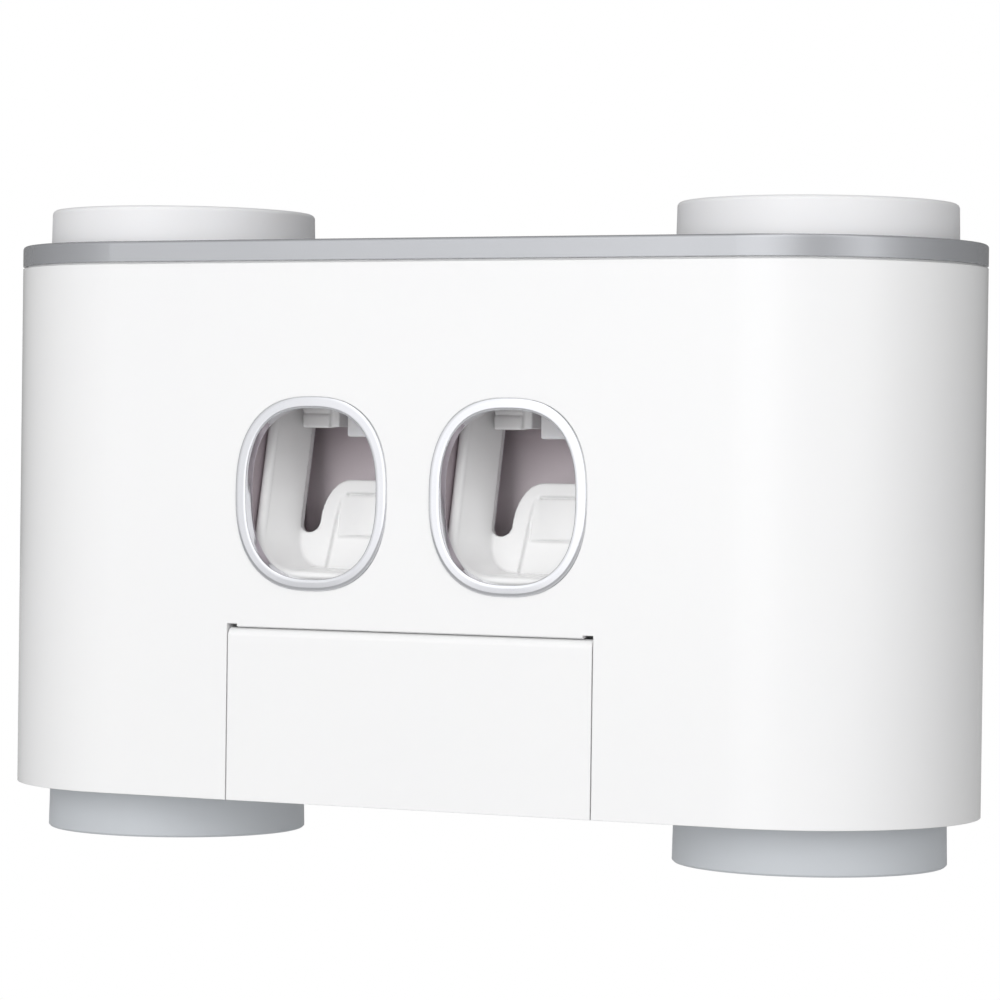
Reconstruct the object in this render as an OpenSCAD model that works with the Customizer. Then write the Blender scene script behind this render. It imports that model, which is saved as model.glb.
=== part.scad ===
// Toothpaste dispenser for a bathroom wall.
// Two squeezers sit behind oval windows, with four rinsing cups at the ends.
// Millimetres. X runs along the wall, -Y is the front, Z is up, Y = 0 is the wall.

/* [Body] */
// Width of the body, end to end
body_w = 298; // [290:1:330]
// Depth of the body from the wall to its front
body_d = 104; // [102:1:110]
// Height of the body with its tray
body_h = 160; // [156:1:172]
// Wall of the outer shell
shell_wall = 2.5; // [2:0.1:3]
// Distance from the wall at which the shell parts
split_back = 28; // [24:1:32]
// Free space between the two shell halves
split_gap = 0.2; // [0.1:0.05:0.4]
// Free space between the back of the body and the wall
wall_gap = 0.5; // [0.3:0.1:1]

/* [Tray] */
// Height of the grey tray
tray_h = 6; // [5:0.5:8]
// Thickness of its top
tray_top = 3; // [2.5:0.5:3.5]
// Width of its rim
tray_rim = 2.5; // [2:0.1:3]
// Rounding of its top edge
tray_round = 1; // [0.5:0.1:1.5]
// Height of the shadow line under the tray
shadow_gap = 0.7; // [0.4:0.1:1]
// Thickness of the shell step that carries the tray
step_wall = 1.2; // [1:0.1:1.4]
// Distance from a casing's side to the tube opening
tube_side = 2.3; // [2:0.1:4]
// Distance of the tube openings' front edge behind the front
tube_front = 22; // [22:0.5:25]

/* [Cups] */
// Distance of the cup axes behind the front
cup_depth = 52; // [50:0.5:54]
// Height of every cup
cup_h = 84; // [80:1:84]
// Wall of a cup
cup_wall = 1.8; // [1.5:0.1:2.2]
// Thickness of a cup's base
cup_base = 2.4; // [2:0.1:3]
// How much smaller a lower cup's radius is than an upper one's
low_cup_less = 2.65; // [2.4:0.05:4]
// Growth of the cup's radius from base to mouth
cup_flare = 1.75; // [1.2:0.05:1.8]
// Rounding of a cup's base edge
cup_round = 1.3; // [0.8:0.1:2]
// How far the lower cups hang below the body
low_cup_out = 13.8; // [12:0.1:15]
// Free space round a cup in its well
cup_gap = 0.6; // [0.5:0.05:0.7]
// Free space above or below a resting cup
rest_gap = 0.3; // [0.25:0.05:0.4]

/* [Cup wells] */
// Free space between a well and the shell's front or back
well_space = 5.1; // [5:0.1:7]
// Free space between a well and the shell's end
well_end_gap = 0.6; // [0.6:0.1:3]
// Wall of the upper part of the well
well_rim = 2.6; // [2.2:0.1:3.2]
// Height of the shelf between the upper and the lower cup
shelf_z = 6.9; // [6.5:0.1:7.5]
// Thickness of that shelf
shelf_t = 2.9; // [2.5:0.1:3.5]
// Thickness of the well's foot flange
flange_t = 2; // [1.5:0.5:3]
// Wall of the lower part of the well
well_wall = 2.5; // [2:0.1:3]
// Radius of the drain holes in the shelf
drain_r = 2.5; // [1.5:0.5:3]
// Radius of the circle they stand on
drain_circle_r = 29; // [26:1:31]
// Number of drain holes
drain_count = 6; // [3:1:8]

/* [Cup magnets] */
// Radius of a magnet
magnet_r = 10; // [8:0.5:12]
// Thickness of a magnet
magnet_t = 5; // [4:0.5:6]
// Skin between the magnet and the lower cup
magnet_skin = 1.5; // [1:0.1:2]
// Wall of the boss round a magnet
magnet_wall = 3; // [2:0.5:4]
// Free space round a magnet
magnet_gap = 0.15; // [0.1:0.05:0.3]
// Radius of the steel disc in a lower cup's base
disc_r = 12; // [9:0.5:14]
// Thickness of the steel disc
disc_t = 0.8; // [0.6:0.1:1]

/* [Windows] */
// Distance from a casing's side to the ring's side
ring_side = 0.4; // [0.3:0.1:1]
// Distance from the floor of the tube bay down to the ring's top
ring_top = 10.6; // [10:0.1:12]
// Distance from the flap's top up to the ring's foot
ring_foot = 11; // [10:0.5:13]
// Squareness of the oval, 2 is an ellipse
window_power = 2.5; // [2.2:0.1:3]
// Width of the ring's face
ring_w = 2.9; // [2.5:0.1:3.2]
// How far the ring stands out from the front
ring_out = 0.5; // [0.3:0.1:0.8]
// How far its flange is let into the shell
ring_in = 1; // [0.8:0.1:1.2]
// Depth of the ring's collar behind the front
ring_depth = 3.8; // [3.5:0.1:3.9]
// Wall of the collar
collar_wall = 1.2; // [1:0.1:1.4]

/* [Flap and brush bay] */
// Distance from the flap's side to the middle of the cups
flap_side = 45; // [44.5:0.5:48]
// Height of the flap
flap_h = 49.4; // [48:0.1:50]
// Thickness of the flap
flap_t = 2.5; // [2:0.1:3]
// Radius of the hinge barrel along the flap's top
barrel_r = 2.5; // [2.3:0.1:2.8]
// Gap round the flap
flap_gap = 0.35; // [0.35:0.05:0.5]
// Radius of a hinge pin
flap_pin_r = 1.2; // [1:0.1:1.4]
// Length of a hinge pin
flap_pin_l = 9; // [7:1:12]
// Running space round a hinge pin
pin_play = 0.05; // [0.02:0.01:0.08]
// Length of the relief at each upper corner
relief_w = 3.2; // [2:0.1:5]
// Height of the relief
relief_h = 0.7; // [0.4:0.1:1]
// Wall of the brush bay
bay_wall = 1.6; // [1.4:0.1:2]
// Depth of the brush bay
bay_d = 30; // [26:1:30]
// Thickness of the deck that carries the squeezers
deck_t = 2; // [1.6:0.1:2.2]
// Number of brush slots
slot_count = 5; // [3:1:6]
// Distance of the outer slots from the flap's side
slot_side = 12.5; // [8:0.5:16]
// Width of a brush slot
slot_w = 7; // [5:0.5:9]
// Depth of a brush slot
slot_d = 18; // [14:1:20]
// Thickness of the brush rack
rack_t = 2.5; // [2:0.1:3.5]
// Thickness of the bottom cover
bottom_t = 2; // [1.6:0.1:2.4]

/* [Squeezer casing] */
// Distance of a casing from the middle
case_mid = 6.2; // [5:0.1:7]
// Free space between a casing and a cup well
case_end_gap = 2.3; // [1:0.1:4]
// Wall of a casing
case_wall = 1.8; // [1.5:0.1:2]
// Distance of its open front behind the body's front
case_front = 4.8; // [4.6:0.1:6]
// Distance from its back to the wall
case_back_gap = 20; // [18:0.5:21]
// Depth of the tube bay below the top of the casing
tube_bay_h = 26; // [24:0.5:28]
// Distance of the inner panel behind the front
panel_depth = 41; // [40:0.5:41.5]
// Distance of the casing's top below the tray's top
case_top_gap = 8; // [7:0.5:10]

/* [Squeezer lever] */
// Lean of the lever at rest, in degrees
lean = 13.5; // [12:0.5:14]
// Distance of the pivot behind the front
pivot_depth = 32.6; // [32:0.1:34]
// Distance of the pivot below the floor of the tube bay
pivot_drop = 8.6; // [8:0.1:9]
// Space between the scoop's mouth and the casing's side wall
scoop_side = 2.6; // [2.5:0.1:4]
// Space between the scoop's plate and the casing's side wall
plate_side = 7.5; // [7:0.1:7.8]
// Height of the scoop's floor above the ring's foot at its mouth
scoop_rise = 7; // [6.5:0.1:7.6]
// Further rise of the scoop's floor up to its plate
plate_rise = 4.2; // [3.6:0.1:4.8]
// Distance of the mouth from the front
mouth_u = 8.2; // [8.1:0.1:8.6]
// Wall of the lever
lever_wall = 1.5; // [1.3:0.1:1.6]
// Distance from the mouth to the plate
scoop_d = 15.5; // [14:0.5:16]
// Radius of the lower corners at the mouth
mouth_round = 12; // [9:0.5:13]
// Radius of the lower corners at the plate
plate_round = 8; // [6:0.5:9]
// Width of the notch beside the lobe
notch_w = 5.6; // [5:0.1:6.5]
// Width of the lobe's curved shoulder
lobe_curve = 8.2; // [7:0.1:9]
// Share of the lobe's height that the notch leaves standing
notch_share = 0.525; // [0.5:0.005:0.6]
// Distance of the lobe's top below the pivot
lobe_drop = 19.5; // [19:0.1:21]
// Width of the lobe's rim
rim_w = 4; // [3:0.1:5]
// Depth of the recess inside the rim
recess_t = 1.4; // [0.8:0.1:1.5]
// How far the notch is let into the lever's side behind the plate's front
notch_in = 0.9; // [0.3:0.1:1]
// Radius of the pivot pins
pivot_r = 1.5; // [1.2:0.1:1.8]
// Radius of the lever's eyes
eye_r = 3.6; // [3.2:0.1:3.8]

/* [Pump] */
// Distance of the pump's axis from the casing's back
pump_back = 11; // [10.5:0.5:11.5]
// Half width of the pump base as a share of the casing's inner half width
pump_share = 0.54; // [0.5:0.01:0.6]
// Radius of the bellows
bellows_r = 8; // [7:0.5:8.5]
// Wall of the bellows
bellows_wall = 0.9; // [0.7:0.1:1.2]
// Number of folds
bellows_folds = 4; // [3:1:5]
// Height of the pump base's top
pump_top_z = 8; // [4:1:10]
// Radius of the return spring
spring_r = 5; // [4:0.5:6]
// Wall of the return spring
spring_wire = 0.9; // [0.7:0.1:1.2]
// Radius of the paste hose
hose_r = 3.5; // [3:0.1:4]
// Distance of the hose behind the front
hose_depth = 50; // [49:0.5:51]

/* [Tube seat] */
// Radius of the bore that takes the tube's neck
neck_r = 6.25; // [5:0.05:7]
// Length of that bore
neck_l = 6; // [5:0.5:7]
// Radius of the seat's flange
seat_flange_r = 14; // [12:0.5:16]
// Thickness of the flange
seat_flange_t = 2; // [1.5:0.1:3]
// Radius of the hole in the bay floor
seat_hole_r = 10; // [9:0.5:11]

/* [Nozzle] */
// Distance of the nozzle's front behind the body's front
nozzle_depth = 23; // [22:0.5:24]
// Length of the nozzle
nozzle_l = 8.8; // [7:0.1:10]
// Width of the nozzle as a share of the manifold's
nozzle_share = 0.462; // [0.38:0.002:0.48]
// Space beside the nozzle as a share of the manifold's half width
nozzle_space = 0.277; // [0.2:0.001:0.3]
// How far the block beside the nozzle stands out of the manifold's side
block_out = 2.2; // [0.9:0.1:2.3]
// Height of the groove round the manifold's front above its foot
groove_z = 6.4; // [6:0.1:7]
// Width of that groove
groove_w = 0.7; // [0.4:0.1:0.9]
// Height of the manifold
manifold_h = 13; // [12:0.1:13.5]
// Space between the manifold and the casing's side wall
manifold_side = 9.5; // [9.5:0.1:10.5]

/* [Wall bracket] */
// Distance from the bracket's end to the middle of the cups
bracket_side = 39.5; // [38.5:0.5:45]
// Height of its plate
bracket_h = 60; // [56:1:62]
// Thickness of its steel
bracket_t = 2; // [1.5:0.1:2.5]
// Height of the tongue that the body hangs on
tongue_h = 10; // [8:0.5:10]
// Distance of the tongue's back from the wall
tongue_gap = 5; // [4.5:0.1:5.5]
// Distance of the plate's top edge below the tray's top
bracket_drop = 30; // [30:1:34]
// Distance of the wall screws from the bracket's ends
wall_screw_side = 17; // [12:1:22]
// Radius of the wall screw holes
wall_screw_r = 2.5; // [2:0.1:3]
// How far the body lifts to come off
lift = 14; // [12:0.5:14]

/* [Screws] */
// Radius of the screws
screw_r = 1.5; // [1.2:0.1:1.7]
// Radius of their heads
head_r = 2.8; // [2.5:0.1:3.2]
// Height of their heads
head_h = 1.6; // [1.2:0.1:1.8]
// Length of the shell screws
shell_screw_l = 14; // [10:1:16]
// Length of the casing screws
case_screw_l = 9.6; // [9:0.1:9.7]
// How far the heads of the bottom screws are sunk
head_sink = 1.2; // [1:0.1:1.3]
// Length of the bottom screws
bottom_screw_l = 10; // [8:1:14]
// Wall of a screw boss
boss_wall = 2.2; // [1.8:0.1:2.4]

/* [Hidden] */
$fn = 96;
eps = 0.01;
hair = 0.02;
fit = 0.3;
cut_lead = 0.3;
pocket_floor = 12;

front_y = -body_d;
top_z = body_h / 2;
floor_z = -body_h / 2;
end_r = body_d / 2;
half_l = body_w / 2 - end_r;
split_depth = body_d - split_back;
shell_top_z = top_z - tray_h;
tray_under_z = top_z - tray_top;
panel_in = pocket_floor + shell_wall - 0.5;

well_r = min(cup_depth, body_d - cup_depth) - shell_wall - well_space;
cup_x = body_w / 2 - shell_wall - well_end_gap - well_r;
cup_y = front_y + cup_depth;
top_bore_r = well_r - well_rim;
top_cup_r = top_bore_r - cup_gap - cup_flare;
low_cup_r = top_cup_r - low_cup_less;
low_bore_r = low_cup_r + cup_flare + cup_gap + 0.25;
top_cup_mouth_z = shelf_z + rest_gap;
low_cup_mouth_z = floor_z - low_cup_out;
low_cup_base_z = low_cup_mouth_z + cup_h;
boss_z = low_cup_base_z + rest_gap;
bottom_z = floor_z + 0.5;
bottom_top_z = bottom_z + bottom_t;

flap_w = 2 * (cup_x - flap_side);
flap_top_z = floor_z + flap_h;
hinge_y = front_y + barrel_r;
hinge_z = flap_top_z - barrel_r;
door_half = flap_w / 2 + flap_gap;
bay_half = door_half + 0.95;
bay_front = flap_t + fit;
bay_back = bay_front + bay_d;
slot_pitch = (flap_w - 2 * slot_side) / (slot_count - 1);
deck_z = floor_z + flap_h + 3.1;
deck_under_z = deck_z - deck_t;
pin_out = flap_w / 2 + flap_gap + 3.2;

case_w = cup_x - well_r - case_end_gap - case_mid;
case_half = case_w / 2;
case_in = case_half - case_wall;
case_back = body_d - case_back_gap;
case_top_z = top_z - case_top_gap;
bay_floor_z = case_top_z - tube_bay_h;
window_x = case_mid + case_half;
window_w = case_w - 2 * ring_side;
window_top_z = bay_floor_z - ring_top;
window_low_z = flap_top_z + ring_foot;
window_z = (window_top_z + window_low_z) / 2;
window_h = window_top_z - window_low_z;

pump_depth = case_back - pump_back;
pump_y = front_y + pump_depth;
tube_w = case_w - 2 * tube_side;
tube_d = pump_depth - spring_r - 4 - tube_front;
tube_depth = tube_front + tube_d / 2;
tube_y = front_y + tube_depth;
bay_back_in = tube_depth + tube_d / 2;
hose_y = front_y + hose_depth;
pivot_y = front_y + pivot_depth;
pivot_z = bay_floor_z - pivot_drop;
arm_low = 4.5;
arm_t = 3.5;
arm_in = pump_depth - pivot_depth - 5;
arm_out = pump_depth - pivot_depth + 5;
arm_z = pivot_z - arm_low;
arm_top_z = arm_z + arm_t;
spring_top_z = case_top_z - case_wall - 8;

pivot_u = pivot_depth * cos(lean) - pivot_z * sin(lean);
pivot_v = pivot_depth * sin(lean) + pivot_z * cos(lean);
plate_u = mouth_u + scoop_d;
plate_t = lever_wall + recess_t;
scoop_w = case_in - scoop_side;
plate_w = case_in - plate_side;
scoop_low = window_low_z + scoop_rise;
plate_low = scoop_low + plate_rise;
lobe_left = notch_w - plate_w;
lobe_flat = lobe_left + lobe_curve;
lobe_v = pivot_z - lobe_drop;
lobe_h = lobe_v - plate_low;
notch_v = plate_low + notch_share * lobe_h;
manifold_w = case_in - manifold_side;
manifold_z = bay_floor_z - manifold_h;
nozzle_z = manifold_z - nozzle_l;
nozzle_w = 2 * manifold_w * nozzle_share;
nozzle_x = manifold_w - nozzle_w - 1.4;
nozzle_axis_x = nozzle_x + nozzle_w / 2;

bracket_w = 2 * (cup_x - bracket_side);
bracket_z = top_z - bracket_drop;
wall_screw_pitch = bracket_w - 2 * wall_screw_side;
pocket_half = bracket_w / 2 + 8;
pocket_top_z = bracket_z + bracket_t + tongue_h + 5.6;
pocket_low_z = bracket_z - bracket_h - lift - 2;
tongue_y = -tongue_gap - bracket_t;
hook_z = bracket_z + bracket_t + fit;
shell_screw_zs = [bracket_z - 6, bracket_z - 48];
case_screw_zs = [bracket_z - 8, bracket_z - 38];

// Points of a circular arc.
function arc(cx, cy, r, a, b, n) = [for (i = [0:n]) let (t = a + (b - a) * i / n) [cx + r * cos(t), cy + r * sin(t)]];

// Points of an oval with the stated half sizes.
function oval(a, b, p) = [for (i = [0:71]) let (t = i * 5, c = cos(t), s = sin(t))
  [a * sign(c) * pow(abs(c), 2 / p), b * sign(s) * pow(abs(s), 2 / p)]];

// Upright block with the body's outline, drawn in by an inset.
module stadium(inset, z0, z1) {
  r = end_r - inset;
  for (s = [-1, 1]) translate([s * half_l, -end_r, z0]) cylinder(r = r, h = z1 - z0);
  translate([-half_l, -end_r - r, z0]) cube([2 * half_l, 2 * r, z1 - z0]);
}

// Revolved profile at both ends and straight between them.
module stadium_sweep() {
  for (s = [-1, 1]) translate([s * half_l, -end_r, 0]) rotate_extrude() children();
  translate([-half_l, -end_r, 0]) rotate([90, 0, 90]) linear_extrude(2 * half_l) {
    children();
    mirror([1, 0]) children();
  }
}

// Box between two corners, with its depth counted from the front.
module box(x0, x1, d0, d1, z0, z1) {
  translate([x0, front_y + d0, z0]) cube([x1 - x0, d1 - d0, z1 - z0]);
}

// Round bar along Y, with its depth counted from the front.
module bar_y(x, z, r, d0, d1) {
  translate([x, front_y + d0, z]) rotate([-90, 0, 0]) cylinder(r = r, h = d1 - d0, $fn = 48);
}

// Oval prism along Y.
module oval_y(x, inset, d0, d1) {
  translate([x, front_y + d1, window_z]) rotate([90, 0, 0])
    linear_extrude(d1 - d0) polygon(oval(window_w / 2 - inset, window_h / 2 - inset, window_power));
}

// Screw along its axis with the head at the origin and the tip at +Z.
module screw(l) {
  difference() {
    union() {
      translate([0, 0, -head_h]) cylinder(r = head_r, h = head_h, $fn = 48);
      cylinder(r = screw_r, h = l, $fn = 48);
    }
    for (a = [0, 90]) rotate(a) translate([-1.6, -0.3, -head_h - eps]) cube([3.2, 0.6, 0.9]);
  }
}

function shell_screw_at() = [for (z = shell_screw_zs) [0, z]];
function case_screw_at() = [for (s = [-1, 1], z = case_screw_zs) [s * window_x, z]];
function bottom_front_at() = [for (s = [-1, 1]) [s * (bay_half + bay_wall + 6.5), front_y + 8.5]];
function bottom_rear_at() = [for (s = [-1, 1]) [s * (bay_half + 3.1), -9]];

module shell_ring() {
  difference() {
    union() {
      stadium(0, floor_z, shell_top_z - shadow_gap);
      stadium(shell_wall - step_wall, floor_z, shell_top_z);
    }
    stadium(shell_wall, floor_z - 1, shell_top_z + 1);
  }
}

module bottom_boss(p) {
  translate([p[0], p[1], bottom_top_z]) cylinder(r = screw_r + boss_wall, h = bottom_screw_l + 2, $fn = 48);
}

module bottom_hole(p) {
  translate([p[0], p[1], bottom_top_z - eps]) cylinder(r = screw_r + hair, h = bottom_screw_l, $fn = 48);
}

module front_cover() {
  color("white") difference() {
    union() {
      intersection() {
        shell_ring();
        box(-body_w, body_w, -1, split_depth, floor_z, shell_top_z);
      }
      for (p = shell_screw_at()) bar_y(p[0], p[1], screw_r + boss_wall, shell_wall - 0.5, body_d - panel_in);
      for (p = bottom_front_at()) {
        bottom_boss(p);
        translate([p[0] - boss_wall / 2, front_y + shell_wall - 0.5, bottom_top_z])
          cube([boss_wall, 3.5, bottom_screw_l + 2]);
      }
      for (s = [-1, 1])
        box(s > 0 ? door_half : -pin_out, s > 0 ? pin_out : -door_half, 1, 6, hinge_z - 4, hinge_z + 4);
    }
    for (s = [-1, 1]) {
      oval_y(s * window_x, ring_w - collar_wall, -1, shell_wall + 1);
      oval_y(s * window_x, -hair, -1, ring_in);
      translate([s * (door_half - eps), hinge_y, hinge_z]) rotate([0, s * 90, 0])
        cylinder(r = flap_pin_r + hair, h = pin_out - door_half + 1, $fn = 48);
      box(s > 0 ? door_half - relief_w : -door_half, s > 0 ? door_half : relief_w - door_half,
        -1, shell_wall + 1, flap_top_z, flap_top_z + flap_gap + relief_h);
    }
    box(-door_half, door_half, -1, shell_wall + 1, floor_z - 1, flap_top_z + flap_gap);
    for (p = shell_screw_at())
      bar_y(p[0], p[1], screw_r + hair, body_d - panel_in - shell_screw_l, body_d - panel_in + 1);
    for (p = bottom_front_at()) bottom_hole(p);
  }
}

module rear_frame() {
  d_in = body_d - panel_in;
  d_floor = body_d - pocket_floor;
  color("gainsboro") difference() {
    union() {
      intersection() {
        shell_ring();
        box(-body_w, body_w, split_depth + split_gap, body_d - wall_gap, floor_z, shell_top_z);
      }
      box(-pocket_half - shell_wall, pocket_half + shell_wall, d_in, body_d - wall_gap,
        pocket_low_z - shell_wall, pocket_top_z + shell_wall);
      for (p = bottom_rear_at()) {
        bottom_boss(p);
        translate([p[0] - boss_wall / 2, p[1], bottom_top_z]) cube([boss_wall, 8, bottom_screw_l + 2]);
      }
      for (p = case_screw_at()) bar_y(p[0], p[1], screw_r + boss_wall, case_back, d_in + 1);
    }
    difference() {
      box(-pocket_half, pocket_half, d_floor, body_d + 1, pocket_low_z, pocket_top_z);
      box(-bracket_w / 2 + 4, bracket_w / 2 - 4, body_d - tongue_gap + fit, body_d - bracket_t - fit,
        hook_z, pocket_top_z + 1);
      box(-bracket_w / 2 + 4, bracket_w / 2 - 4, d_floor - 1, body_d - bracket_t - fit,
        hook_z + tongue_h, hook_z + tongue_h + 3);
    }
    for (p = shell_screw_at()) bar_y(p[0], p[1], screw_r + hair, d_in - 1, d_floor + 1);
    for (p = case_screw_at()) bar_y(p[0], p[1], screw_r + hair, case_back - 1, d_floor + 1);
    for (p = bottom_rear_at()) bottom_hole(p);
  }
}

module top_tray() {
  r = end_r;
  color("silver") difference() {
    union() {
      stadium_sweep() polygon(concat([[0, tray_under_z], [r - tray_rim, tray_under_z], [r - tray_rim, shell_top_z],
        [r, shell_top_z]], arc(r - tray_round, top_z - tray_round, tray_round, 0, 90, 6), [[0, top_z]]));
      for (s = [-1, 1]) {
        box(s * window_x - tube_w / 2 - 1.6, s * window_x + tube_w / 2 + 1.6,
          tube_depth - tube_d / 2 - 1.6, tube_depth + tube_d / 2 + 1.6, case_top_z, tray_under_z + 1);
      }
      box(-half_l + 30, half_l - 30, shell_wall + fit, shell_wall + fit + 1.6, shell_top_z - 3, tray_under_z + 1);
      box(-half_l + 30, half_l - 30, body_d - shell_wall - fit - 1.6, body_d - shell_wall - fit,
        shell_top_z - 3, tray_under_z + 1);
    }
    for (s = [-1, 1]) {
      translate([s * cup_x, cup_y, tray_under_z - 1]) cylinder(r = top_bore_r, h = tray_top + 2);
      box(s * window_x - tube_w / 2, s * window_x + tube_w / 2,
        tube_depth - tube_d / 2, tube_depth + tube_d / 2, case_top_z - 1, top_z + 1);
    }
  }
}

module bottom_cover() {
  color("whitesmoke") difference() {
    stadium(shell_wall + fit, bottom_z, bottom_top_z);
    for (s = [-1, 1])
      translate([s * cup_x, cup_y, bottom_z - 1]) cylinder(r = low_bore_r, h = bottom_t + 2);
    box(-bay_half + 4, bay_half - 4, -1, bay_back - 3, bottom_z - 1, bottom_top_z + 1);
    box(-door_half - fit, door_half + fit, -1, bay_front, bottom_z - 1, bottom_top_z + 1);
    for (p = concat(bottom_front_at(), bottom_rear_at()))
      translate([p[0], p[1], bottom_z - 1]) {
        cylinder(r = screw_r + hair, h = bottom_t + 2, $fn = 48);
        cylinder(r = head_r + hair, h = head_sink + 1, $fn = 48);
      }
  }
}

module wall_bracket() {
  z0 = bracket_z - bracket_h;
  color("lightgray") difference() {
    union() {
      translate([-bracket_w / 2, -bracket_t, z0]) cube([bracket_w, bracket_t, bracket_h]);
      translate([-bracket_w / 2, tongue_y, bracket_z]) cube([bracket_w, -tongue_y, bracket_t]);
      translate([-bracket_w / 2, tongue_y, bracket_z]) cube([bracket_w, bracket_t, bracket_t + tongue_h]);
    }
    for (s = [-1, 1]) translate([s * wall_screw_pitch / 2, -bracket_t - 1, bracket_z - bracket_h / 2])
      rotate([-90, 0, 0]) cylinder(r = wall_screw_r, h = bracket_t + 2, $fn = 48);
  }
}

module brush_bay() {
  w = bay_half + bay_wall;
  color("white") difference() {
    union() {
      box(-w, w, bay_front, bay_back + bay_wall, bottom_top_z, deck_z);
      box(-window_x - case_half - 1, window_x + case_half + 1, bay_front, case_back, deck_under_z, deck_z);
    }
    box(-bay_half, bay_half, bay_front - 1, bay_back, bottom_top_z - 1, deck_under_z);
    for (s = [-1, 1])
      box(s > 0 ? door_half - 1 : -w - 1, s > 0 ? w + 1 : 1 - door_half, 0, 6 + fit, hinge_z - 4 - fit, deck_z + 1);
  }
}

module brush_rack() {
  color("white") difference() {
    box(-bay_half + fit, bay_half - fit, bay_front, bay_back - fit, bottom_top_z, bottom_top_z + rack_t);
    for (i = [0:slot_count - 1]) {
      x = (i - (slot_count - 1) / 2) * slot_pitch;
      box(x - slot_w / 2, x + slot_w / 2, -1, bay_front + slot_d - slot_w / 2, bottom_z, bottom_top_z + rack_t + 1);
      translate([x, front_y + bay_front + slot_d - slot_w / 2, bottom_z])
        cylinder(r = slot_w / 2, h = bottom_t + rack_t + 1, $fn = 48);
    }
  }
}

module flap_door() {
  color("white") difference() {
    union() {
      box(-flap_w / 2, flap_w / 2, 0, flap_t, floor_z, hinge_z);
      translate([-flap_w / 2, hinge_y, hinge_z]) rotate([0, 90, 0]) cylinder(r = barrel_r, h = flap_w, $fn = 64);
    }
    translate([-flap_w / 2 - 1, hinge_y, hinge_z]) rotate([0, 90, 0])
      cylinder(r = flap_pin_r + pin_play, h = flap_w + 2, $fn = 48);
  }
}

module flap_pins() {
  color("silver") for (s = [-1, 1])
    translate([s * (pin_out - flap_pin_l), hinge_y, hinge_z]) rotate([0, s * 90, 0])
      cylinder(r = flap_pin_r, h = flap_pin_l, $fn = 48);
}

module shell_screws() {
  color("silver") for (p = shell_screw_at())
    translate([p[0], -pocket_floor, p[1]]) rotate([90, 0, 0]) screw(shell_screw_l);
}

module casing_screws() {
  color("silver") for (p = case_screw_at())
    translate([p[0], -pocket_floor, p[1]]) rotate([90, 0, 0]) screw(case_screw_l);
}

module bottom_screws() {
  color("silver") for (p = concat(bottom_front_at(), bottom_rear_at()))
    translate([p[0], p[1], bottom_z + head_sink]) screw(bottom_screw_l);
}

module cup(r, flare) {
  m = r + flare;
  k = flare / cup_h;
  rotate_extrude() polygon(concat(
    [[0, cup_h]],
    arc(r + k * cup_round - cup_round, cup_h - cup_round, cup_round, 90, 0, 6),
    [[m, 0.5], [m - 0.5, 0], [m - cup_wall + 0.4, 0], [m - cup_wall, 0.4]],
    arc(r - cup_wall - cup_round, cup_h - cup_base - cup_round, cup_round, 0, 90, 4),
    [[0, cup_h - cup_base]]));
}

module top_cup(s) {
  color("white") translate([s * cup_x, cup_y, top_cup_mouth_z]) cup(top_cup_r, cup_flare);
}

module low_cup(s) {
  color("silver") difference() {
    translate([s * cup_x, cup_y, low_cup_mouth_z]) cup(low_cup_r, cup_flare);
    translate([s * cup_x, cup_y, low_cup_base_z - disc_t - 0.2]) cylinder(r = disc_r + hair, h = 2);
  }
}

module low_cup_disc(s) {
  color("gray") translate([s * cup_x, cup_y, low_cup_base_z - disc_t - 0.2]) cylinder(r = disc_r, h = disc_t);
}

module cup_well(s) {
  top = tray_under_z;
  b = magnet_r + magnet_gap;
  under = shelf_z - shelf_t;
  color("lightgray") translate([s * cup_x, cup_y, 0]) difference() {
    rotate_extrude() polygon([
      [0, boss_z], [b + magnet_wall, boss_z], [b + magnet_wall, under], [low_bore_r, under],
      [low_bore_r, bottom_top_z], [well_r, bottom_top_z], [well_r, bottom_top_z + flange_t],
      [low_bore_r + well_wall, bottom_top_z + flange_t], [low_bore_r + well_wall, under - 2],
      [well_r, under + 0.5], [well_r, top], [top_bore_r, top], [top_bore_r, shelf_z], [0, shelf_z]]);
    translate([0, 0, boss_z + magnet_skin]) cylinder(r = b, h = 40);
    for (i = [0:drain_count - 1]) rotate(i * 360 / drain_count) translate([drain_circle_r, 0, under - 1])
      cylinder(r = drain_r, h = shelf_t + 2, $fn = 32);
  }
}

module cup_magnet(s) {
  color("dimgray") translate([s * cup_x, cup_y, boss_z + magnet_skin]) cylinder(r = magnet_r, h = magnet_t);
}

module magnet_plug(s) {
  z = boss_z + magnet_skin + magnet_t;
  color("lightgray") translate([s * cup_x, cup_y, z]) cylinder(r = magnet_r, h = shelf_z - z);
}

module window_ring(s) {
  x = s * window_x;
  color("silver") difference() {
    union() {
      oval_y(x, 0, -ring_out, ring_in);
      oval_y(x, ring_w - collar_wall + hair, 0, ring_depth);
    }
    oval_y(x, ring_w, -ring_out - 1, ring_depth + 1);
  }
}

module squeezer_casing(s) {
  x = s * window_x;
  top = bay_floor_z + case_wall;
  color("plum") difference() {
    box(x - case_half, x + case_half, case_front, case_back, deck_z, top);
    box(x - case_in, x + case_in, case_front - 1, case_back - case_wall, deck_z + case_wall, bay_floor_z);
    box(x - case_in, x + case_in, bay_back_in + case_wall, case_back - case_wall, bay_floor_z - 1, top + 1);
    translate([x, tube_y, bay_floor_z - 1]) cylinder(r = seat_hole_r + hair, h = case_wall + 2);
    translate([x - case_half - 1, pivot_y, pivot_z]) rotate([0, 90, 0])
      cylinder(r = pivot_r + hair, h = case_w + 2, $fn = 48);
    for (z = case_screw_zs) bar_y(x, z, screw_r + hair, case_back - case_wall - 1, case_back + 1);
  }
}

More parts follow.
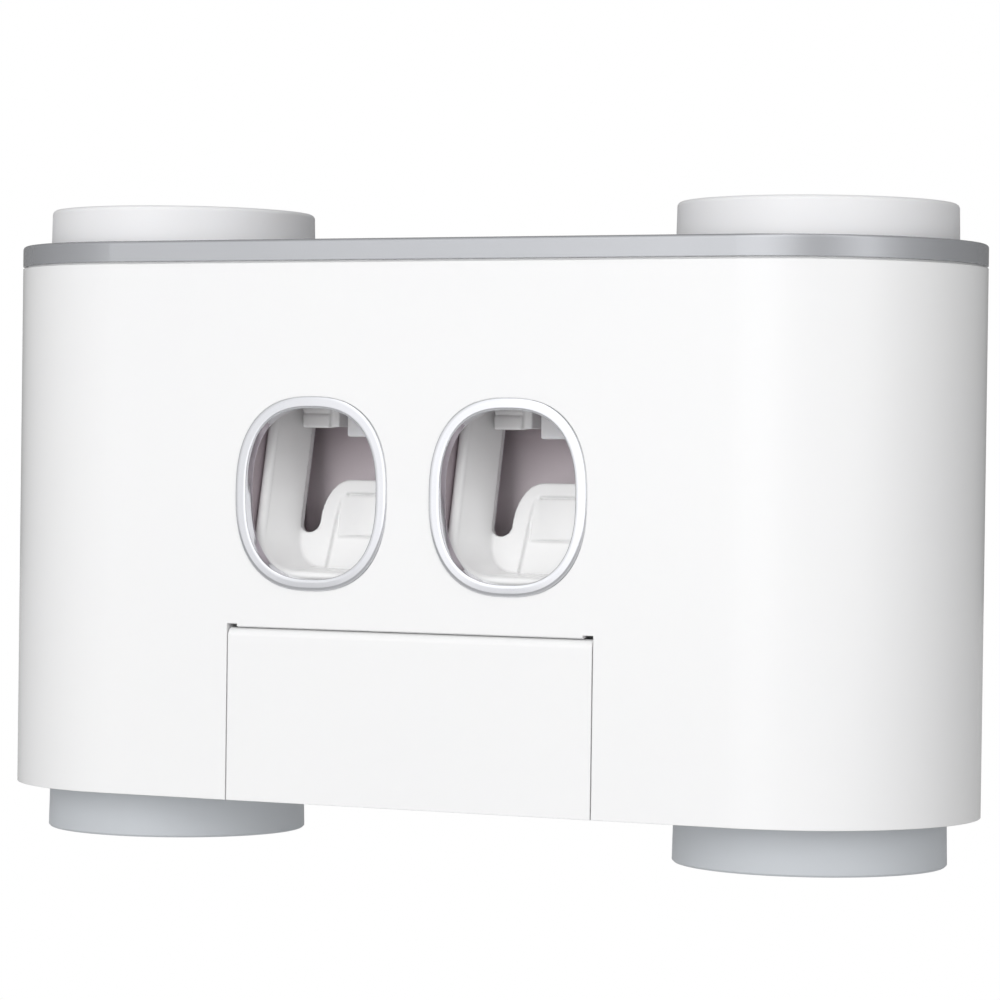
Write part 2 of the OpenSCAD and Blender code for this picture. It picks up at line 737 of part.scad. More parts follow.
module inner_panel(s) {
  x = s * window_x;
  color("plum") box(x - case_in, x + case_in, panel_depth, panel_depth + case_wall, deck_z + case_wall, arm_z - 1);
}

module tube_bay(s) {
  x = s * window_x;
  foot = bay_floor_z + case_wall;
  color("plum") difference() {
    box(x - case_half, x + case_half, tube_front - case_wall, case_back, foot, case_top_z);
    box(x - tube_w / 2, x + tube_w / 2, tube_front, bay_back_in, foot - 1, case_top_z + 1);
    box(x - case_in, x + case_in, bay_back_in + case_wall, case_back - case_wall, foot - 1, spring_top_z);
  }
}

// Slice of the scoop at a depth in its own frame, grown by t and open at the top.
module scoop_slice(u, t) {
  f = min(1, (u - mouth_u) / scoop_d);
  w = scoop_w + (plate_w - scoop_w) * f + t;
  low = scoop_low + (plate_low - scoop_low) * f - t;
  r = mouth_round + (plate_round - mouth_round) * f + t;
  translate([0, u, 0]) rotate([90, 0, 0]) linear_extrude(eps) {
    translate([-w, low + r]) square([2 * w, pivot_v + 10 - low - r]);
    translate([r - w, low]) square([2 * (w - r), r + 1]);
    for (s = [-1, 1]) translate([s * (w - r), low + r]) circle(r, $fn = 48);
  }
}

// Solid between two slices.
module scoop_span(u0, t0, u1, t1) {
  hull() {
    scoop_slice(u0, t0);
    scoop_slice(u1, t1);
  }
}

// Prism through the plate from an outline seen from the front.
module through_plate(pts, u0, u1) {
  translate([0, u1, 0]) rotate([90, 0, 0]) linear_extrude(u1 - u0) polygon(pts);
}

module lever_scoop() {
  foot_r = (plate_w + notch_in + lobe_left) / 2;
  high = pivot_v + 20;
  block_x = lobe_left + 5.8;
  block_w = plate_w - 3.1 - block_x;
  block_v = plate_low + 0.369 * lobe_h;
  difference() {
    intersection() {
      scoop_span(mouth_u, lever_wall, plate_u + plate_t, lever_wall);
      translate([-40, 0, 0]) rotate([90, 0, 90]) linear_extrude(80) polygon([
        [mouth_u - 1, -30], [plate_u + plate_t + 1, -30], [plate_u + plate_t + 1, pivot_v],
        [pivot_u + 2, pivot_v + 3], [pivot_u, pivot_v + eye_r], [pivot_u - 3, pivot_v + 2], [mouth_u - 1, 33]]);
    }
    scoop_span(mouth_u - 2, 0, plate_u, 0);
    scoop_span(mouth_u - eps, 0.9, mouth_u + 0.5, 0.35);
    scoop_span(mouth_u + 0.5 - eps, 0.35, mouth_u + 1.6, 0);
    through_plate(concat(
      [[-plate_w - notch_in, high]], arc(foot_r - plate_w - notch_in, notch_v, foot_r, 180, 360, 16),
      [for (a = [8:8:90]) [lobe_flat - (lobe_flat - lobe_left) * cos(a), notch_v + (lobe_v - notch_v) * sin(a)]],
      [[plate_w, lobe_v], [plate_w, high]]), plate_u - cut_lead, plate_u + plate_t + 2);
    through_plate([[lobe_left + 3.2, plate_low - cut_lead], [lobe_left + rim_w + 1.5, lobe_v - rim_w - 1.8],
      [lobe_left + rim_w + 2, lobe_v - rim_w - 0.8], [lobe_left + rim_w + 3, lobe_v - rim_w - 0.2],
      [lobe_flat, lobe_v - rim_w + 0.1], [plate_w - 1.2, lobe_v - rim_w + 0.1],
      [plate_w - 1.2, plate_low + 0.32 * lobe_h], [plate_w - plate_round, plate_low - cut_lead]], plate_u - cut_lead, plate_u + recess_t);
  }
  intersection() {
    translate([block_x, plate_u - 1, block_v]) cube([block_w, recess_t + 1.1, lobe_v - 4.7 - block_v]);
    translate([block_x + block_w / 2, plate_u + 21.2, block_v - 1]) cylinder(r = 22, h = lobe_h, $fn = 144);
  }
}

module push_lever(s) {
  color("white") translate([s * window_x, pivot_y, pivot_z]) difference() {
    union() {
      rotate([-lean, 0, 0]) translate([0, -pivot_u, -pivot_v]) lever_scoop();
      for (e = [-1, 1]) {
        translate([e * plate_w, 0, 0]) rotate([0, e * 90, 0]) cylinder(r = eye_r, h = lever_wall + 0.4, $fn = 48);
        translate([e > 0 ? plate_w : -plate_w - lever_wall - 0.4, -2, -arm_low])
          cube([lever_wall + 0.4, arm_out + 2, arm_t]);
      }
      translate([-plate_w - 1, arm_in, -arm_low]) cube([2 * plate_w + 2, arm_out - arm_in, arm_t]);
    }
    translate([-30, 0, 0]) rotate([0, 90, 0]) cylinder(r = pivot_r + pin_play, h = 60, $fn = 48);
  }
}

module pivot_pins(s) {
  color("silver") for (e = [-1, 1]) translate([s * window_x + e * (plate_w - 0.6), pivot_y, pivot_z])
    rotate([0, e * 90, 0]) cylinder(r = pivot_r, h = case_half - plate_w + 0.6, $fn = 48);
}

module manifold(s) {
  x = s * window_x;
  duct_z = manifold_z + 4;
  top = bay_floor_z - 0.1;
  color("whitesmoke") difference() {
    union() {
      box(x - manifold_w, x + manifold_w, nozzle_depth + 0.5, hose_depth + 6, manifold_z, top);
      box(x - manifold_w - block_out, x - manifold_w / 2, nozzle_depth + 0.5, nozzle_depth + 5,
        nozzle_z + 2.5, manifold_z + 2);
      box(x - manifold_w / 2 - 0.1, x + nozzle_x - nozzle_space * manifold_w, nozzle_depth + 2, nozzle_depth + 10,
        nozzle_z + 2.8, manifold_z + 1);
    }
    box(x - 2 * manifold_w, x + 2 * manifold_w, nozzle_depth - 1, nozzle_depth + 1.3,
      nozzle_z + groove_z, nozzle_z + groove_z + groove_w);
    translate([x, tube_y, top - 3.7]) cylinder(r = seat_hole_r + 0.2, h = 10);
    translate([x, tube_y, duct_z]) cylinder(r = 3, h = 10, $fn = 32);
    bar_y(x, duct_z, 2, nozzle_depth + 4, hose_depth);
    translate([x, front_y + nozzle_depth + 4, duct_z]) rotate([0, 90, 0]) cylinder(r = 2, h = nozzle_axis_x, $fn = 32);
    translate([x + nozzle_axis_x, front_y + nozzle_depth + 4, manifold_z - 1]) cylinder(r = 2, h = 5, $fn = 32);
    translate([x, hose_y, manifold_z - 1]) cylinder(r = 2, h = 5, $fn = 32);
  }
}

module nozzle(s) {
  x = s * window_x;
  color("white") difference() {
    box(x + nozzle_x, x + nozzle_x + nozzle_w, nozzle_depth, nozzle_depth + 8, nozzle_z, manifold_z);
    translate([x + nozzle_axis_x, front_y + nozzle_depth + 4, nozzle_z - 1])
      cylinder(r = 2, h = nozzle_l + 2, $fn = 32);
  }
}

module tube_seat(s) {
  z0 = bay_floor_z - 3.7;
  z1 = bay_floor_z + case_wall + seat_flange_t;
  color("gray") translate([s * window_x, tube_y, 0]) difference() {
    union() {
      translate([0, 0, z0]) cylinder(r = seat_hole_r, h = z1 - z0 - 0.5);
      translate([0, 0, z1 - seat_flange_t]) cylinder(r = seat_flange_r, h = seat_flange_t);
    }
    translate([0, 0, z1 - neck_l]) cylinder(r = neck_r, h = neck_l + 1);
    translate([0, 0, z0 - 1]) cylinder(r = 3, h = 10, $fn = 32);
  }
}

module paste_hose(s) {
  z0 = deck_z + case_wall + 9.7;
  color("lightgray") translate([s * window_x, hose_y, z0]) difference() {
    cylinder(r = hose_r, h = manifold_z - z0, $fn = 48);
    translate([0, 0, -1]) cylinder(r = hose_r - 1.2, h = manifold_z - z0 + 2, $fn = 48);
  }
}

module pump_base(s) {
  x = s * window_x;
  z0 = deck_z + case_wall;
  back = case_back - case_wall - fit;
  pump_w = case_in * pump_share;
  color("whitesmoke") difference() {
    union() {
      box(x - pump_w, x + pump_w, hose_depth - 5, back, z0, z0 + 9.7);
      box(x - pump_w + 1, x + pump_w - 1, pump_depth - bellows_r - 0.5, back, z0, pump_top_z);
    }
    translate([x, pump_y, z0 + 4]) cylinder(r = bellows_r - 3, h = pump_top_z - z0, $fn = 48);
    bar_y(x, z0 + 5.5, 2, hose_depth, pump_depth);
    translate([x, hose_y, z0 + 4]) cylinder(r = 2, h = 10, $fn = 32);
  }
}

module pump_bellows(s) {
  h = arm_z - pump_top_z;
  n = bellows_folds * 2;
  outer = [for (i = [0:n]) [i % 2 == 0 ? bellows_r - 2 : bellows_r, h * i / n]];
  color("lightgray") translate([s * window_x, pump_y, pump_top_z]) rotate_extrude() polygon(concat(
    outer, [for (i = [n:-1:0]) [outer[i][0] - bellows_wall * 1.3, outer[i][1]]]));
}

module return_spring(s) {
  h = spring_top_z - arm_top_z;
  color("silver") translate([s * window_x, pump_y, arm_top_z]) difference() {
    cylinder(r = spring_r, h = h, $fn = 48);
    translate([0, 0, -1]) cylinder(r = spring_r - spring_wire, h = h + 2, $fn = 48);
  }
}

wall_bracket();
rear_frame();
front_cover();
top_tray();
bottom_cover();
brush_bay();
brush_rack();
flap_door();
flap_pins();
shell_screws();
casing_screws();
bottom_screws();
cup_well(-1);  // cup_well_left
cup_well(1);  // cup_well_right
cup_magnet(-1);  // cup_magnet_left
cup_magnet(1);  // cup_magnet_right
magnet_plug(-1);  // magnet_plug_left
magnet_plug(1);  // magnet_plug_right
top_cup(-1);  // top_cup_left
top_cup(1);  // top_cup_right
low_cup(-1);  // low_cup_left
low_cup(1);  // low_cup_right
low_cup_disc(-1);  // low_cup_disc_left
low_cup_disc(1);  // low_cup_disc_right
window_ring(-1);  // window_ring_left
window_ring(1);  // window_ring_right
squeezer_casing(-1);  // squeezer_casing_left
squeezer_casing(1);  // squeezer_casing_right
inner_panel(-1);  // inner_panel_left
inner_panel(1);  // inner_panel_right
tube_bay(-1);  // tube_bay_left
tube_bay(1);  // tube_bay_right
push_lever(-1);  // push_lever_left
push_lever(1);  // push_lever_right
pivot_pins(-1);  // pivot_pins_left
pivot_pins(1);  // pivot_pins_right
manifold(-1);  // manifold_left
manifold(1);  // manifold_right
nozzle(-1);  // nozzle_left
nozzle(1);  // nozzle_right
tube_seat(-1);  // tube_seat_left
tube_seat(1);  // tube_seat_right
paste_hose(-1);  // paste_hose_left
paste_hose(1);  // paste_hose_right
pump_base(-1);  // pump_base_left
pump_base(1);  // pump_base_right
pump_bellows(-1);  // pump_bellows_left
pump_bellows(1);  // pump_bellows_right
return_spring(-1);  // return_spring_left
return_spring(1);  // return_spring_right
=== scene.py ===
import math

import bmesh
import bpy
from mathutils import Matrix, Vector


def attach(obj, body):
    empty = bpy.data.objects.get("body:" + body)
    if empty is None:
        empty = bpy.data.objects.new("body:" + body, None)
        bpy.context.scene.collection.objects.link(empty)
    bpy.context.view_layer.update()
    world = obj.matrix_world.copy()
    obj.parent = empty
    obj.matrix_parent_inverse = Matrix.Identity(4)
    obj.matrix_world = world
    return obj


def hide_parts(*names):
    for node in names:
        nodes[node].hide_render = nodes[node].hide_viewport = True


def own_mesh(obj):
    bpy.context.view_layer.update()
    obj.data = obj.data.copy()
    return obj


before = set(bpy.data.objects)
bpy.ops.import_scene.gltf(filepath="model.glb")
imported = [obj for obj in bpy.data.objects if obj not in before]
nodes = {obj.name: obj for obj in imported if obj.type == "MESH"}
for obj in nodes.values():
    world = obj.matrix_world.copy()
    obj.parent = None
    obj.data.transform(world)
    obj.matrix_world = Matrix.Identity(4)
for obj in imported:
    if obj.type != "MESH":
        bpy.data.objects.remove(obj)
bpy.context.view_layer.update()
print("frame loaded:", len(nodes), "nodes")

sides = {"left": -1, "right": 1}
mm = 0.001
weldDistance = 1e-6  # metres, between corners that are one


def linearColour(hexCode):
    parts = [int(hexCode[i:i + 2], 16) / 255 for i in (1, 3, 5)]  # sRGB hex to linear light
    return tuple(p / 12.92 if p <= 0.04045 else ((p + 0.055) / 1.055) ** 2.4 for p in parts) + (1.0,)


def addNode(tree, kind, settings=None, links=None):
    node = tree.nodes.new(kind)
    for name, value in (settings or {}).items():
        if isinstance(name, int) or name in node.inputs:
            node.inputs[name].default_value = value
        else:
            setattr(node, name, value)
    for name, socket in (links or {}).items():
        tree.links.new(socket, node.inputs[name])
    return node


def newObject(name, data):
    made = bpy.data.objects.new(name, data)
    bpy.context.scene.collection.objects.link(made)
    return made


def startMaterial(name):
    material = bpy.data.materials.new(name)
    material.use_nodes = True
    tree = material.node_tree
    tree.nodes.clear()
    place = addNode(tree, "ShaderNodeTexCoord").outputs["Object"]
    return material, tree, place


def finishMaterial(tree, shader):
    addNode(tree, "ShaderNodeOutputMaterial", links={"Surface": shader.outputs[0]})


# What most of the plastics share; each finish below gives what differs.
plainPlastic = {"ior": 1.5, "coat": 0.0, "coatRough": 0.1, "metal": 0.0, "bump": 0.08, "bumpMm": 0.05,
                "spread": (0.9, 1.12), "edgeMm": 0.3, "edgeRays": 4, "glow": 0.0, "glowMm": 0.6,
                "glowReach": (1.0, 0.9, 0.8)}


def mouldedPlastic(name, finish):
    # A tool-steel mould leaves a faint orange peel, and its polish or grain sets the gloss.
    look = {**plainPlastic, **finish}
    material, tree, place = startMaterial(name)
    patches = addNode(tree, "ShaderNodeTexNoise", {"Scale": 1 / (look["patchMm"] * mm), "Detail": 3.0},
                      {"Vector": place})
    tint = addNode(tree, "ShaderNodeMix",
                   {"data_type": "RGBA", 6: linearColour(look["colour"]), 7: linearColour(look["colourToo"])},
                   {0: patches.outputs["Fac"]})
    if "lowColour" in look:  # painted light: the lower end gets a lighter tone for the shade in the slot, which fades into the rest
        height = addNode(tree, "ShaderNodeSeparateXYZ", links={0: place}).outputs[2]
        share = addNode(tree, "ShaderNodeMapRange",
                        {"From Min": look["lowZMm"] * mm, "From Max": look["highZMm"] * mm}, {"Value": height})
        tint = addNode(tree, "ShaderNodeMix", {"data_type": "RGBA", 6: linearColour(look["lowColour"])},
                       {0: share.outputs[0], 7: tint.outputs[2]})
    grain = addNode(tree, "ShaderNodeTexNoise", {"Scale": 1 / (look["grainMm"] * mm), "Detail": 2.0},
                    {"Vector": place})
    least, most = look["spread"]
    rough = addNode(tree, "ShaderNodeMapRange", {"To Min": look["rough"] * least, "To Max": look["rough"] * most},
                    {"Value": patches.outputs["Fac"]})
    edge = addNode(tree, "ShaderNodeBevel", {"Radius": look["edgeMm"] * mm, "samples": look["edgeRays"]})
    bump = addNode(tree, "ShaderNodeBump", {"Strength": look["bump"], "Distance": look["bumpMm"] * mm},
                   {"Height": grain.outputs["Fac"], "Normal": edge.outputs[0]})
    shader = addNode(tree, "ShaderNodeBsdfPrincipled",
                     {"IOR": look["ior"], "Coat Weight": look["coat"], "Coat Roughness": look["coatRough"],
                      "Metallic": look["metal"], "Subsurface Weight": look["glow"],
                      "Subsurface Scale": look["glowMm"] * mm, "Subsurface Radius": look["glowReach"]},
                     {"Base Color": tint.outputs[2], "Roughness": rough.outputs[0], "Normal": bump.outputs[0]})
    finishMaterial(tree, shader)
    return material


plainMetal = {"bumpMm": 0.03, "spread": (0.8, 1.25), "edgeRays": 4}


def sheetMetal(name, finish):
    # Rolling leaves fine lines along one way, and zinc or chrome sets the tone.
    look = {**plainMetal, **finish}
    material, tree, place = startMaterial(name)
    stretch = addNode(tree, "ShaderNodeMapping", {"Scale": look["stretch"]}, {"Vector": place})
    lines = addNode(tree, "ShaderNodeTexNoise", {"Scale": 1 / (look["lineMm"] * mm), "Detail": 4.0},
                    {"Vector": stretch.outputs[0]})
    tint = addNode(tree, "ShaderNodeMix",
                   {"data_type": "RGBA", 6: linearColour(look["colour"]), 7: linearColour(look["colourToo"])},
                   {0: lines.outputs["Fac"]})
    least, most = look["spread"]
    rough = addNode(tree, "ShaderNodeMapRange", {"To Min": look["rough"] * least, "To Max": look["rough"] * most},
                    {"Value": lines.outputs["Fac"]})
    edge = addNode(tree, "ShaderNodeBevel", {"Radius": look["edgeMm"] * mm, "samples": look["edgeRays"]})
    bump = addNode(tree, "ShaderNodeBump", {"Strength": look["bump"], "Distance": look["bumpMm"] * mm},
                   {"Height": lines.outputs["Fac"], "Normal": edge.outputs[0]})
    shader = addNode(tree, "ShaderNodeBsdfPrincipled", {"Metallic": 1.0},
                     {"Base Color": tint.outputs[2], "Roughness": rough.outputs[0], "Normal": bump.outputs[0]})
    finishMaterial(tree, shader)
    return material


finishes = {
    # glossy ABS from a polished mould: white, with crisp but soft-edged reflections
    "glossyAbsWhite": {"colour": "#F3F3F3", "colourToo": "#F1F1F2", "patchMm": 60, "grainMm": 0.9, "rough": 0.16,
                       "bump": 0.05, "edgeMm": 0.35},
    # silver-painted ABS: a metallic-looking grey lacquer with a clear top
    "silverLacquerAbs": {"colour": "#C4C6CA", "colourToo": "#C0C2C6", "patchMm": 40, "grainMm": 0.35, "rough": 0.2,
                         "bump": 0.05, "coat": 0.4, "metal": 0.62},
    # polypropylene from a fine-blasted mould: soft sheen, a little light goes in
    "satinPpWhite": {"colour": "#EFEFF0", "colourToo": "#ECECEE", "patchMm": 50, "grainMm": 0.5, "rough": 0.42,
                     "edgeMm": 0.4, "ior": 1.49, "glow": 0.08},
    # the same in pale grey, a shade duller
    "satinPpGrey": {"colour": "#CBCFD3", "colourToo": "#C7CBD0", "patchMm": 50, "grainMm": 0.5, "rough": 0.46,
                    "edgeMm": 0.4, "ior": 1.49, "glow": 0.05},
    # plain ABS of the hidden wells: as moulded, no polish
    "asMouldedAbsGrey": {"colour": "#C9CBCD", "colourToo": "#C4C6C8", "patchMm": 40, "grainMm": 0.4, "rough": 0.5,
                         "bump": 0.12},
    # smoky mauve ABS of the casings behind the windows: satin, it darkens what lies deep
    "smokyAbsMauve": {"colour": "#B5A9AF", "colourToo": "#B0A4AA", "patchMm": 40, "grainMm": 0.5, "rough": 0.42},
    # the same plastic, painted lighter as painted light where the panel closes the view behind the lever, since that
    # space lies in shade; its lower end is painted lighter still
    "smokyAbsPanel": {"colour": "#C9BDC3", "colourToo": "#C3B7BD", "patchMm": 40, "grainMm": 0.5, "rough": 0.42,
                      # painted light: near-white lower end, fading out between these heights
                      "lowColour": "#F6ECF1", "lowZMm": 8, "highZMm": 24},
    # polished ABS of the levers, manifolds and pump bases: white with a clear sheen
    "polishedAbsWhite": {"colour": "#FAFAFA", "colourToo": "#F8F8F8", "patchMm": 30, "grainMm": 0.7, "rough": 0.2,
                         "bump": 0.04},
    # silicone rubber: dull, slightly see-into
    "siliconeClearWhite": {"colour": "#F2F2F4", "colourToo": "#EFEFF1", "patchMm": 20, "grainMm": 0.3, "rough": 0.55,
                           "bump": 0.1, "ior": 1.41, "glow": 0.25},
    # barium ferrite magnet: dark grey fired ceramic with a fine grit
    "ferriteMagnet": {"colour": "#3A3A3C", "colourToo": "#454547", "patchMm": 6, "grainMm": 0.25, "rough": 0.62,
                      "bump": 0.3, "edgeMm": 0.2},
}
metals = {
    # chrome plating on ABS: a mirror with almost no haze
    "chromePlate": {"colour": "#F1F2F6", "colourToo": "#EDEEF3", "lineMm": 6, "stretch": (1, 1, 1), "rough": 0.06,
                    "bump": 0.0, "edgeMm": 0.2},
    # zinc-plated sheet steel: cold grey with rolling lines along X, drawn 3 times too coarse to show
    "zincSheetSteel": {"colour": "#B9BCBF", "colourToo": "#A9ACAF", "lineMm": 0.6, "stretch": (0.05, 1, 1),
                       "rough": 0.34, "bump": 0.15, "edgeMm": 0.4},
    # stainless wire and turned screws: a brighter grey with fine turning marks
    "stainlessSteel": {"colour": "#C4C5C7", "colourToo": "#B4B5B8", "lineMm": 0.5, "stretch": (1, 1, 4), "rough": 0.26,
                       "bump": 0.1, "edgeMm": 0.15},
}
materials = {name: mouldedPlastic(name, finish) for name, finish in finishes.items()}
materials.update({name: sheetMetal(name, finish) for name, finish in metals.items()})

finishOf = {
    "wall_bracket": "zincSheetSteel", "rear_frame": "glossyAbsWhite", "front_cover": "glossyAbsWhite",
    "top_tray": "silverLacquerAbs", "bottom_cover": "glossyAbsWhite", "brush_bay": "glossyAbsWhite",
    "brush_rack": "glossyAbsWhite", "flap_door": "glossyAbsWhite", "flap_pins": "stainlessSteel",
    "shell_screws": "stainlessSteel", "casing_screws": "stainlessSteel", "bottom_screws": "stainlessSteel",
    "cup_well": "asMouldedAbsGrey", "cup_magnet": "ferriteMagnet", "magnet_plug": "asMouldedAbsGrey",
    "top_cup": "satinPpWhite", "low_cup": "satinPpGrey", "low_cup_disc": "stainlessSteel",
    "window_ring": "chromePlate", "squeezer_casing": "smokyAbsMauve", "inner_panel": "smokyAbsPanel",
    "tube_bay": "smokyAbsMauve", "push_lever": "polishedAbsWhite", "pivot_pins": "stainlessSteel",
    "manifold": "polishedAbsWhite", "nozzle": "siliconeClearWhite", "tube_seat": "siliconeClearWhite",
    "paste_hose": "siliconeClearWhite", "pump_base": "polishedAbsWhite", "pump_bellows": "siliconeClearWhite",
    "return_spring": "stainlessSteel",
}
for name, node in nodes.items():
    kind = name.replace("_left", "").replace("_right", "")
    node.data.materials.clear()
    node.data.materials.append(materials[finishOf[kind]])
print("materials made:", len(materials))


def readyPiece(mesh, name, body, slotName, *cadNodes):
    piece = newObject(name, mesh)
    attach(piece, body)
    if cadNodes:
        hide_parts(*cadNodes)
    return piece


def appliedMesh(worker):
    graph = bpy.context.evaluated_depsgraph_get()
    mesh = bpy.data.meshes.new_from_object(worker.evaluated_get(graph))
    bpy.data.objects.remove(worker)
    return mesh


def turnedOut(mesh):
    shape = bmesh.new()
    shape.from_mesh(mesh)
    bmesh.ops.remove_doubles(shape, verts=shape.verts, dist=weldDistance)
    bmesh.ops.recalc_face_normals(shape, faces=shape.faces)
    shape.to_mesh(mesh)
    shape.free()
    return mesh


def startTree(name, lengths, placeName):
    tree = bpy.data.node_groups.new(name, "GeometryNodeTree")
    tree.interface.new_socket("Geometry", in_out="OUTPUT", socket_type="NodeSocketGeometry")
    for title, lengthMm in lengths.items():
        socket = tree.interface.new_socket(title, in_out="INPUT", socket_type="NodeSocketFloat")
        socket.default_value = lengthMm * mm
    tree.interface.new_socket(placeName, in_out="INPUT", socket_type="NodeSocketVector")
    return tree, addNode(tree, "NodeGroupInput").outputs


def finishTree(tree, shape, materialName):
    smooth = addNode(tree, "GeometryNodeSetShadeSmooth", links={"Geometry": shape.outputs[0]})
    real = addNode(tree, "GeometryNodeRealizeInstances", links={"Geometry": smooth.outputs[0]})
    painted = addNode(tree, "GeometryNodeSetMaterial", {"Material": materials[materialName]},
                      {"Geometry": real.outputs[0]})
    addNode(tree, "NodeGroupOutput", links={0: painted.outputs[0]})
    return tree


def grown(tree, values):
    worker = newObject("worker", bpy.data.meshes.new("worker"))
    modifier = worker.modifiers.new("grow", "NODES")
    modifier.node_group = tree
    for item in tree.interface.items_tree:
        if item.item_type == "SOCKET" and item.in_out == "INPUT" and item.name in values:
            modifier[item.identifier] = values[item.name]
    return turnedOut(appliedMesh(worker))


# Chrome window rings: an oval path and a section with rounded corners, swept by Geometry Nodes.
ring = {"wideMm": 47.8, "tallMm": 55.0, "power": 2.5, "faceMm": 3.3, "deepMm": 4.3, "cornerMm": 0.26,
        "circleSteps": 720, "steps": 180, "cornerSteps": 6, "sideCuts": 3,
        "middleXMm": 30.5, "middleZMm": 7.9, "frontMm": -104.5}


def ringTree():
    tree, sizes = startTree("windowRingTree", {"Half Width": ring["wideMm"] / 2, "Half Height": ring["tallMm"] / 2,
                                               "Face": ring["faceMm"], "Depth": ring["deepMm"],
                                               "Corner": ring["cornerMm"]}, "Middle")
    circle = addNode(tree, "GeometryNodeCurvePrimitiveCircle", {"Resolution": ring["circleSteps"], "Radius": 1.0})
    here = addNode(tree, "ShaderNodeSeparateXYZ", links={0: addNode(tree, "GeometryNodeInputPosition").outputs[0]})
    halfFace = addNode(tree, "ShaderNodeMath", {"operation": "DIVIDE", 1: 2.0}, {0: sizes["Face"]})
    ends = []
    for axis, size in ((0, "Half Width"), (1, "Half Height")):  # a superellipse: each part bent by the power
        reach = addNode(tree, "ShaderNodeMath", {"operation": "SUBTRACT"}, {0: sizes[size], 1: halfFace.outputs[0]})
        plain = addNode(tree, "ShaderNodeMath", {"operation": "ABSOLUTE"}, {0: here.outputs[axis]})
        bent = addNode(tree, "ShaderNodeMath", {"operation": "POWER", 1: 2 / ring["power"]}, {0: plain.outputs[0]})
        sign = addNode(tree, "ShaderNodeMath", {"operation": "SIGN"}, {0: here.outputs[axis]})
        part = addNode(tree, "ShaderNodeMath", {"operation": "MULTIPLY"}, {0: bent.outputs[0], 1: sign.outputs[0]})
        end = addNode(tree, "ShaderNodeMath", {"operation": "MULTIPLY"}, {0: part.outputs[0], 1: reach.outputs[0]})
        ends.append(end.outputs[0])
    spot = addNode(tree, "ShaderNodeCombineXYZ", links={0: ends[0], 1: ends[1]})
    oval = addNode(tree, "GeometryNodeSetPosition", links={"Geometry": circle.outputs[0], "Position": spot.outputs[0]})
    even = addNode(tree, "GeometryNodeResampleCurve", {"Count": ring["steps"]}, {"Curve": oval.outputs[0]})
    section = addNode(tree, "GeometryNodeCurvePrimitiveQuadrilateral",
                      links={"Width": sizes["Face"], "Height": sizes["Depth"]})
    rounded = addNode(tree, "GeometryNodeFilletCurve", {"mode": "POLY", "Count": ring["cornerSteps"]},
                      {"Curve": section.outputs[0], "Radius": sizes["Corner"]})
    divided = addNode(tree, "GeometryNodeSubdivideCurve", {"Cuts": ring["sideCuts"]}, {"Curve": rounded.outputs[0]})
    swept = addNode(tree, "GeometryNodeCurveToMesh",
                    links={"Curve": even.outputs[0], "Profile Curve": divided.outputs[0]})
    upright = addNode(tree, "GeometryNodeTransform", {"Rotation": (math.pi / 2, 0, 0)},
                      {"Geometry": swept.outputs[0], "Translation": sizes["Middle"]})
    return finishTree(tree, upright, "chromePlate")


ringNodes = ringTree()
for side, sign in sides.items():
    middle = Vector((sign * ring["middleXMm"], ring["frontMm"] + ring["deepMm"] / 2, ring["middleZMm"])) * mm
    mesh = grown(ringNodes, {"Middle": middle})
    readyPiece(mesh, "windowRing." + side, "body", "chrome_ring", "window_ring_" + side)
print("window rings made")


# Return springs: a coil grown by Geometry Nodes.
spring = {"coilMm": 4.5, "wireMm": 0.9, "turns": 9, "turnSteps": 32, "wireSides": 10,
          "lowMm": 36.4, "highMm": 62.2, "middleXMm": 30.5, "depthMm": -31.0, "travelMm": 9.43}


def springTree():
    height = spring["highMm"] - spring["lowMm"] - spring["wireMm"]
    tree, sizes = startTree("returnSpringTree", {"Coil Radius": spring["coilMm"], "Wire Radius": spring["wireMm"] / 2,
                                                 "Height": height}, "Foot")
    coil = addNode(tree, "GeometryNodeCurveSpiral",
                   {"Resolution": spring["turnSteps"], "Rotations": float(spring["turns"])},
                   {"Start Radius": sizes["Coil Radius"], "End Radius": sizes["Coil Radius"],
                    "Height": sizes["Height"]})
    wire = addNode(tree, "GeometryNodeCurvePrimitiveCircle", {"Resolution": spring["wireSides"]},
                   {"Radius": sizes["Wire Radius"]})
    swept = addNode(tree, "GeometryNodeCurveToMesh", {"Fill Caps": True},
                    {"Curve": coil.outputs[0], "Profile Curve": wire.outputs[0]})
    placed = addNode(tree, "GeometryNodeTransform", links={"Geometry": swept.outputs[0], "Translation": sizes["Foot"]})
    return finishTree(tree, placed, "stainlessSteel")


springNodes = springTree()
for side, sign in sides.items():
    foot = Vector((sign * spring["middleXMm"], spring["depthMm"], spring["lowMm"] + spring["wireMm"] / 2)) * mm
    piece = readyPiece(grown(springNodes, {"Foot": foot}), "returnSpring." + side, "body", "steel_parts",
                       "return_spring_" + side)
    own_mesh(piece)
print("return springs made")


def softenedCopy(name, extra, look, materialName):
    # A moulded piece has no sharp edge: a copy is welded, remeshed finely and relaxed.
    shape = bmesh.new()
    shape.from_mesh(nodes[name].data)
    bmesh.ops.remove_doubles(shape, verts=shape.verts, dist=weldDistance)
    for mesh in extra:
        shape.from_mesh(mesh)
    mesh = bpy.data.meshes.new(name + "Soft")
    shape.to_mesh(mesh)
    shape.free()
    worker = newObject("worker", mesh)
    remesh = worker.modifiers.new("remesh", "REMESH")
    remesh.mode = "VOXEL"
    remesh.voxel_size = look["voxelMm"] * mm
    worker.modifiers.new("relax", "SMOOTH").iterations = look["relaxTimes"]
    worker.modifiers.new("thin", "DECIMATE").ratio = look["keepFaces"]
    mesh = appliedMesh(worker)
    mesh.shade_smooth()
    mesh.materials.clear()
    mesh.materials.append(materials[materialName])
    return mesh


